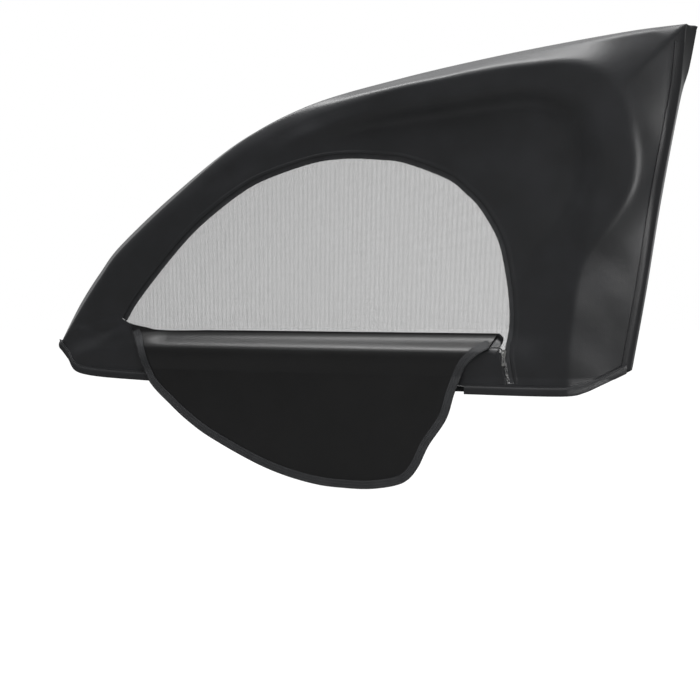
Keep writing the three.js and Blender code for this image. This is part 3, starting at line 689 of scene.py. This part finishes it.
# zipper tapes: sewn behind the window's edge, and on the face of the turned flap
zipper = {"tapeOffset": 2.2, "tapeReach": 16, "tapeThickness": 0.8, "closed": 1.4, "open": 3.0,
          "coilRadius": 1.2, "toothPitch": 1.6, "steps": 520, "across": 10,
          "flapStart": 0.02, "flapEnd": 0.99, "legStart": 0.30, "legCells": 60, "partingBelow": 6,
          "partingAbove": 1, "core": 0.42, "coreSteps": 360, "coreSides": 6,
          "foot": [[285.6, -13], [287, -19]]}
longTeeth = resample(np.concatenate([teeth, zipper["foot"]]), steps["line"])  # down behind the hem
behindCloth = -form["cloth"] - 2 * form["gap"]
onFlap = 2 * form["gap"] + zipper["tapeThickness"]


def tapeGrid(depthAt, line, start, end, sign, lift, cells):
    rows = []
    for far in np.linspace(zipper["tapeReach"], zipper["tapeOffset"], zipper["across"] + 1):
        spots = stretch(offsetLine(line, sign * far), start, end, cells)
        rows.append(facePoint(depthAt, spots[:, 0], spots[:, 1], lift))
    return np.stack(rows, 1)


windowTapeGrid = tapeGrid(panelDepth, longTeeth, 0, 1, 1, behindCloth, zipper["steps"])
windowTape = clothPiece("windowZipperTape", windowTapeGrid, zipper["tapeThickness"], wovenTape,
                        flatMap=stripMap(windowTapeGrid))
finishPiece(windowTape, ["window_zipper_tape"])
flapTapeGrid = tapeGrid(flapDepth, flapEdge, zipper["flapStart"], zipper["flapEnd"], 1, onFlap,
                        zipper["steps"])
flapTape = clothPiece("flapZipperTape", flapTapeGrid, zipper["tapeThickness"], wovenTape,
                      flatMap=stripMap(flapTapeGrid))
finishPiece(flapTape, ["flap_zipper_tape"])
longLeg = resample(np.concatenate([legTeeth, zipper["foot"]]), steps["leg"])
legTapeGrid = tapeGrid(panelDepth, longLeg, zipper["legStart"], 1, -1, behindCloth, zipper["legCells"])[:, ::-1]
legTape = clothPiece("legZipperTape", legTapeGrid, zipper["tapeThickness"], wovenTape,
                     flatMap=stripMap(legTapeGrid))
finishPiece(legTape, [])

# coils: nylon teeth wound along each tape's edge, with a core cord through them
# extruded nylon: smooth and a little shiny
coilMaterial = wovenCloth("extrudedNylonCoil", {
    "colour": "#1f1f21", "dark": "#1a1a1c", "paintedValleyShade": 0.9, "roughness": 0.34, "specular": 0.5,
    "sheen": 0.0, "warp": 0.7, "weft": 0.7, "relief": 0.01, "strength": 0.1,
    "patch": 20, "slack": 10, "slackRelief": 0.02})
coilLift = behindCloth - zipper["tapeThickness"] / 2


def coilOffset(z):
    height = panel["sliderHeight"]
    parting = smoothstep(z, height - zipper["partingBelow"], height + zipper["partingAbove"])
    return lerp(zipper["closed"], zipper["open"], parting)


def coilPiece(name, path, normals, sign, phase, nodes):
    count = int(np.linalg.norm(np.diff(path, axis=0), axis=1).sum() / zipper["toothPitch"])
    along = np.linspace(0, len(path) - 1, count + 1)[:-1] + phase * (len(path) - 1) / count
    index = np.arange(len(path))
    at = np.stack([np.interp(along, index, path[:, k]) for k in range(3)], 1)
    up = unit(np.stack([np.interp(along, index, normals[:, k]) for k in range(3)], 1))
    tangent = unit(np.stack([np.interp(along, index, part) for part in np.gradient(path, axis=0).T], 1))
    inwards = unit(np.cross(up, tangent)) * sign
    reach = np.array([-1.15, -0.7, 0.0, 0.7, 1.05, 1.3]) * zipper["coilRadius"]
    radii = np.array([0.3, 0.52, 0.5, 0.62, 0.7, 0.35])
    centres = at[:, None] + inwards[:, None] * reach[None, :, None]
    teethPart = ringBodies(centres, unit(np.cross(inwards, up)), up * 1.5, radii)
    core = resample(path, zipper["coreSteps"])
    coreUp = np.array([0.0, -1.0, 0.0])
    coreTangent = unit(np.gradient(core, axis=0))
    side = unit(np.cross(coreTangent, coreUp))
    turn = np.linspace(0, 2 * math.pi, zipper["coreSides"], endpoint=False)
    lift = unit(np.cross(side, coreTangent))
    ring = core[:, None] + zipper["core"] * (np.cos(turn)[None, :, None] * side[:, None]
                                             + np.sin(turn)[None, :, None] * lift[:, None])
    order = np.arange(len(core) * zipper["coreSides"]).reshape(len(core), zipper["coreSides"])
    nextSide = np.roll(order, -1, 1)
    walls = np.stack([order[:-1], order[1:], nextSide[1:], nextSide[:-1]], -1).reshape(-1, 4).tolist()
    corePart = (ring.reshape(-1, 3), walls + [order[0].tolist(), order[-1][::-1].tolist()])
    spots, sides = gathered([teethPart, corePart])
    piece = meshObject(name, spots * mm, sides, coilMaterial, spots[:, [0, 2]] * mm, sharp=80)
    return finishPiece(piece, nodes)


windowCoilLine = stretch(offsetLine(longTeeth, np.where(
    longTeeth[:, 0] > 0, coilOffset(longTeeth[:, 1]), zipper["open"])), 0.004, 0.99, 900)
windowCoilPath = facePoint(panelDepth, windowCoilLine[:, 0], windowCoilLine[:, 1], coilLift)
windowCoilUp = faceNormal(panelDepth, windowCoilLine[:, 0], windowCoilLine[:, 1])
windowCoil = coilPiece("windowZipperCoil", windowCoilPath, windowCoilUp, -1, 0.0,
                       ["window_zipper_coil"])

flapCoilLine = stretch(offsetLine(flapEdge, zipper["open"]), 0.01, 0.985, 700)
flapCoilFirst = facePoint(flapDepth, flapCoilLine[:, 0], flapCoilLine[:, 1], onFlap / 2 + form["gap"])
legCoilLine = stretch(offsetLine(longLeg, -coilOffset(longLeg[:, 1])), zipper["legStart"], 0.98, zipper["legCells"])
legCoilPart = facePoint(panelDepth, legCoilLine[:, 0], legCoilLine[:, 1], coilLift)
# the flap's coil runs from the flap's corner over the skirt's edge into the slider, and on down the leg
intoSlider = legCoilPart[0] + [-1.0, 0, 5]
overSkirt = intoSlider + [-8, -5, 3]
bridge = curvePoints([flapCoilFirst[-12], flapCoilFirst[-1], overSkirt, intoSlider, legCoilPart[0],
                      legCoilPart[8]], 60)
flapCoilPath = resample(np.concatenate([flapCoilFirst[:-12], bridge, legCoilPart[9:]]), 1000)
flapCoilUp = np.tile([0.0, -1.0, 0.0], (len(flapCoilPath), 1))
flapCoil = coilPiece("flapZipperCoil", flapCoilPath, flapCoilUp, 1, 0.5, ["flap_zipper_coil"])
print("zipper ready")

# hem casings: the cloth's edge turned up and stitched, a little full between fold and stitches
hem = {"height": 16, "thickness": 1.6, "full": 0.9, "fullFrom": 0.16, "groove": 2.2, "grooveAt": 0.14,
       "grooveWidth": 0.06, "grooveDepth": 0.4, "rearCut": 213, "frontCut": -330, "steps": 150, "across": 14}


def hemGrid(start, end):
    below = stretch(mouth, start, end, hem["steps"])
    rows = []
    for t in np.linspace(0, 1, hem["across"] + 1):
        swollen = min(max((t - hem["fullFrom"]) / (1 - hem["fullFrom"]), 0), 1)
        full = hem["full"] * math.sin(math.pi * swollen) ** 0.7
        groove = hem["grooveDepth"] * math.exp(-((t - hem["grooveAt"]) / hem["grooveWidth"]) ** 2)
        lift = 2 * form["gap"] + hem["thickness"] + full - groove
        height = hem["height"] * (1 - t)
        rows.append(facePoint(panelDepth, below[:, 0], below[:, 1] + height, lift))
    return np.stack(rows, 1)


rearHemGrid = hemGrid(alongMouth(hem["rearCut"]), 0.006)
rearHem = clothPiece("rearHemCasing", rearHemGrid, hem["thickness"], satinCloth,
                     flatMap=stripMap(rearHemGrid))
finishPiece(rearHem, ["rear_hem_band"])
frontHemGrid = hemGrid(0.994, alongMouth(hem["frontCut"]))
frontHem = clothPiece("frontHemCasing", frontHemGrid, hem["thickness"], satinCloth,
                      flatMap=stripMap(frontHemGrid))
finishPiece(frontHem, ["front_hem_band"])

# binding: cloth tape stitched flat down the rear edge
binding = {"width": 12, "inset": 1.5, "lift": 0.7, "crown": 0.35, "thickness": 1.2, "start": 0.05, "end": 0.998,
           "steps": 200, "across": 12}
bindingRows = []
for t in np.linspace(1, 0, binding["across"] + 1):
    far = binding["inset"] + binding["width"] * t
    spots = stretch(offsetLine(frontRear, -far), binding["start"], binding["end"], binding["steps"])
    crown = binding["crown"] * math.sin(math.pi * t)
    bindingRows.append(facePoint(panelDepth, spots[:, 0], spots[:, 1], binding["lift"] + crown))
bindingGrid = np.stack(bindingRows, 1)
rearBinding = clothPiece("rearEdgeBinding", bindingGrid, binding["thickness"], satinCloth,
                         flatMap=stripMap(bindingGrid))
finishPiece(rearBinding, ["rear_edge_binding"])

# stitching: how far each row runs inside its edge, and from where to where on its line
rows = {"opening": 3, "openingSpan": (0.003, 0.985), "skirtSpan": (0.3, 0.97),
        "flap": (14.2, 9.6), "flapSpan": (0.025, 0.968), "rearHemEnd": 0.03, "frontHemStart": 0.975,
        "cutMargin": 2, "inGroove": 0.3, "binding": (3.2, 11.6), "bindingSpan": (0.06, 0.98), "proud": 0.1}
openingRow = stretch(offsetLine(teeth, panel["clothOffset"] + rows["opening"]), *rows["openingSpan"], 900)
skirtRow = stretch(offsetLine(skirtEdge, -rows["opening"]), *rows["skirtSpan"], 60)
openingStitches = stitchPiece("openingStitches", [
    stitchRow(panelDepth, line, -panel["hemSwell"]) for line in (openingRow, skirtRow)])
flapStitches = stitchPiece("flapStitches", [
    stitchRow(flapDepth, stretch(offsetLine(flapEdge, far), *rows["flapSpan"], 900), onFlap + rows["proud"])
    for far in rows["flap"]])
hemSpans = ((alongMouth(hem["rearCut"] + rows["cutMargin"]), rows["rearHemEnd"]),
            (rows["frontHemStart"], alongMouth(hem["frontCut"] - rows["cutMargin"])))
hemStitches = stitchPiece("hemStitches", [
    stitchRow(panelDepth, stretch(mouth, *span, 300) + [0, hem["height"] - hem["groove"]],
              2 * form["gap"] + hem["thickness"] - rows["inGroove"]) for span in hemSpans])
bindingStitches = stitchPiece("bindingStitches", [
    stitchRow(panelDepth, stretch(offsetLine(frontRear, -far), *rows["bindingSpan"], 300),
              binding["lift"] + rows["proud"]) for far in rows["binding"]])
print("stitching ready")


# slider and pull keep their solids, in plated metal
# zinc alloy, die cast and nickel plated: bright, with the soft waviness of a tumbled casting
def platedMetal(name, colour, roughness):
    material, tree = newMaterial(name)
    place = addNode(tree, "ShaderNodeTexCoord")
    cast = addNode(tree, "ShaderNodeTexNoise", {"Scale": 420.0, "Detail": 3.0},
                   {"Vector": place.outputs["Object"]})
    gloss = addNode(tree, "ShaderNodeMapRange", {"To Min": roughness - 0.08, "To Max": roughness + 0.1},
                    {"Value": cast.outputs["Fac"]})
    bump = addNode(tree, "ShaderNodeBump", {"Strength": 0.25, "Distance": 0.1 * mm},
                   {"Height": cast.outputs["Fac"]})
    shader = addNode(tree, "ShaderNodeBsdfPrincipled", {"Base Color": linearColour(colour), "Metallic": 1.0},
                     {"Roughness": gloss.outputs[0], "Normal": bump.outputs[0]})
    addNode(tree, "ShaderNodeOutputMaterial", {}, {"Surface": shader.outputs[0]})
    return material


sliderMetal = platedMetal("castNickelledZinc", "#c4c4c2", 0.28)
for nodeName in ("zipper_slider", "zipper_pull"):
    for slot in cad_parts[nodeName].material_slots:
        slot.material = sliderMetal


# stage: pale floor, white background, and soft boxes above, over the sill, high in front and low at the rear side
def areaLight(name, place, target, size, power):
    data = bpy.data.lights.new(name, "AREA")
    data.shape = "RECTANGLE"
    data.size, data.size_y = size
    data.energy = power
    light = bpy.data.objects.new(name, data)
    light.location = place
    light.visible_camera = False
    light.rotation_euler = (Vector(target) - Vector(place)).to_track_quat("-Z", "Y").to_euler()
    scene.collection.objects.link(light)


lights = {
    "overheadBox": {"place": (0.1, -0.3, 1.8), "target": (0.05, -0.15, 0.1), "size": (2.4, 1.8), "power": 24},
    "sillBox": {"place": (-0.2, -0.42, 1.35), "target": (-0.05, 0, 0.06), "size": (1.7, 0.4), "power": 20},
    "frontHighBox": {"place": (-0.6, -3.0, 1.7), "target": (0, 0, 0.3), "size": (2.2, 0.9), "power": 10},
    "rearSideBox": {"place": (1.05, -0.95, -0.06), "target": (0.42, 0, 0.02), "size": (0.5, 0.26), "power": 4.5},
}
for lightName, values in lights.items():
    areaLight(lightName, **values)

stage = {"colour": "#747474", "glow": 0.92, "height": -0.206, "radius": 9, "sides": 64}
floorMaterial, floorTree = newMaterial("paleStudioFloor")
floorSkin = addNode(floorTree, "ShaderNodeBsdfDiffuse", {"Color": linearColour(stage["colour"])})
floorGlow = addNode(floorTree, "ShaderNodeEmission", {"Color": (1, 1, 1, 1)})
seen = addNode(floorTree, "ShaderNodeLightPath")
glowAmount = addNode(floorTree, "ShaderNodeMath", {"operation": "MULTIPLY", 1: stage["glow"]},
                     {0: seen.outputs["Is Camera Ray"]})
floorTree.links.new(glowAmount.outputs[0], floorGlow.inputs["Strength"])
floorSum = addNode(floorTree, "ShaderNodeAddShader", {}, {0: floorSkin.outputs[0], 1: floorGlow.outputs[0]})
addNode(floorTree, "ShaderNodeOutputMaterial", {}, {"Surface": floorSum.outputs[0]})
floorMesh = bpy.data.meshes.new("floor")
floorRim = [(stage["radius"] * math.cos(t), stage["radius"] * math.sin(t), stage["height"])
            for t in np.linspace(0, 2 * math.pi, stage["sides"], endpoint=False)]
floorMesh.from_pydata(floorRim, [], [list(range(stage["sides"]))])
floorMesh.materials.append(floorMaterial)
floor = bpy.data.objects.new("floor", floorMesh)
scene.collection.objects.link(floor)

# white to the camera, and to the cloth brighter behind and above
world = bpy.data.worlds.new("studio")
scene.world = world
world.use_nodes = True
sky = world.node_tree
sky.nodes.clear()
direction = addNode(sky, "ShaderNodeTexCoord")
split = addNode(sky, "ShaderNodeSeparateXYZ", {}, {0: direction.outputs["Generated"]})
behind = addNode(sky, "ShaderNodeMapRange", {
    "From Min": -0.3, "From Max": 0.7, "To Min": 0.09, "To Max": 0.85}, {"Value": split.outputs["Y"]})
above = addNode(sky, "ShaderNodeMapRange", {
    "From Min": 0.1, "From Max": 0.9, "To Min": 0.0, "To Max": 0.5}, {"Value": split.outputs["Z"]})
soft = addNode(sky, "ShaderNodeMath", {"operation": "ADD"}, {0: behind.outputs[0], 1: above.outputs[0]})
skySeen = addNode(sky, "ShaderNodeLightPath")
level = addNode(sky, "ShaderNodeMix", {"data_type": "FLOAT", 3: 1.0},
                {0: skySeen.outputs["Is Camera Ray"], 2: soft.outputs[0]})
backdrop = addNode(sky, "ShaderNodeBackground", {"Color": (1, 1, 1, 1)}, {"Strength": level.outputs[0]})
addNode(sky, "ShaderNodeOutputWorld", {}, {"Surface": backdrop.outputs[0]})
scene.view_settings.view_transform = "Standard"
